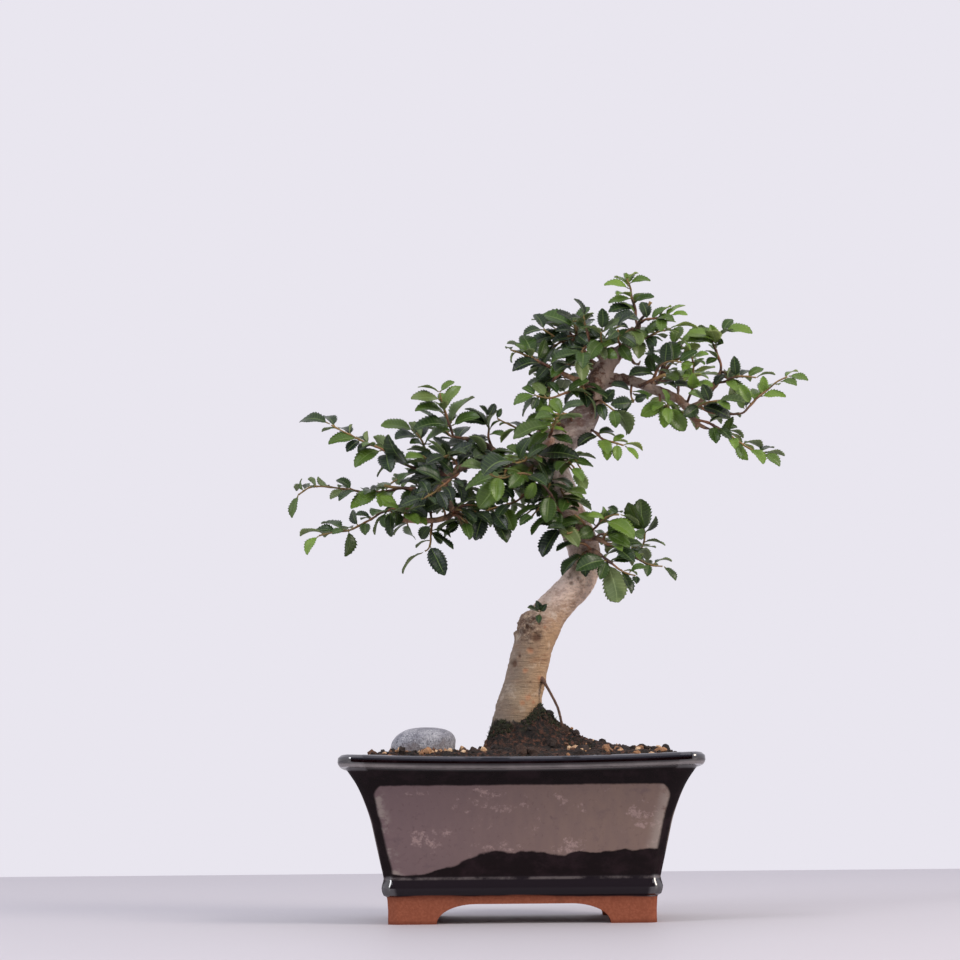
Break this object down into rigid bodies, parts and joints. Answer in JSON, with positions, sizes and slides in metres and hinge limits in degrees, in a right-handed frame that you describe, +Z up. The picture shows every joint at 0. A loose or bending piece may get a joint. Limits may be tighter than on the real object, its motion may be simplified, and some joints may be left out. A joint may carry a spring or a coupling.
{
  "type": "chinese elm bonsai",
  "caption": "Small bonsai tree with a curved trunk and layered leafy shoots, in an oblong glazed pot with soil and a stone.",
  "frame": {"origin": "on the floor, under the middle of the whole object's box", "axes": "+Z up, +X towards the viewer's right, front of the pot towards -Y"},
  "size_m": [0.228, 0.12, 0.2904],
  "materials": {
    "glazed_stoneware": "dark gloss glaze",
    "bark": "rough bark",
    "river_stone": "smooth worn",
    "soil": "loose gritty earth",
    "leaf": "semi-gloss leaf"
  },
  "bodies": {
    "root": {"pot": "glazed_stoneware", "wood": "bark", "stone": "river_stone", "soil": "soil", "shoot_left_upper": "leaf", "shoot_left_top": "leaf", "shoot_left_upright": "leaf", "shoot_left_middle": "leaf", "shoot_left_low": "leaf", "shoot_left_hanging": "leaf", "shoot_left_front": "leaf", "shoot_left_inner": "leaf", "shoot_left_deep": "leaf", "shoot_left_deep_low": "leaf", "shoot_left_deep_up": "leaf", "shoot_middle_upright": "leaf", "shoot_middle_low": "leaf", "shoot_front_low": "leaf", "shoot_front_middle": "leaf", "shoot_front_upper": "leaf", "shoot_bare_left": "leaf", "shoot_right_of_trunk": "leaf", "shoot_low_right_front": "leaf", "shoot_low_right": "leaf", "shoot_low_right_upper": "leaf", "shoot_low_right_top": "leaf", "shoot_low_left_of_trunk": "leaf", "shoot_low_right_deep": "leaf", "shoot_crown_left_low": "leaf", "shoot_crown_left_middle": "leaf", "shoot_crown_left_upper": "leaf", "shoot_crown_left_outer": "leaf", "shoot_crown_middle": "leaf", "shoot_apex": "leaf", "shoot_crown_right_upper": "leaf", "shoot_crown_right": "leaf", "shoot_crown_front": "leaf", "shoot_crown_deep": "leaf", "shoot_crown_deep_left": "leaf", "shoot_crown_deep_right": "leaf", "shoot_right_inner": "leaf", "shoot_right_upright": "leaf", "shoot_right_top": "leaf", "shoot_right_middle": "leaf", "shoot_right_tip": "leaf", "shoot_right_near": "leaf", "shoot_right_low": "leaf", "shoot_right_under": "leaf", "shoot_crown_under": "leaf", "shoot_trunk_front": "leaf", "shoot_right_deep": "leaf", "shoot_right_deep_low": "leaf", "shoot_right_deep_up": "leaf"}
  },
  "joints": []
}
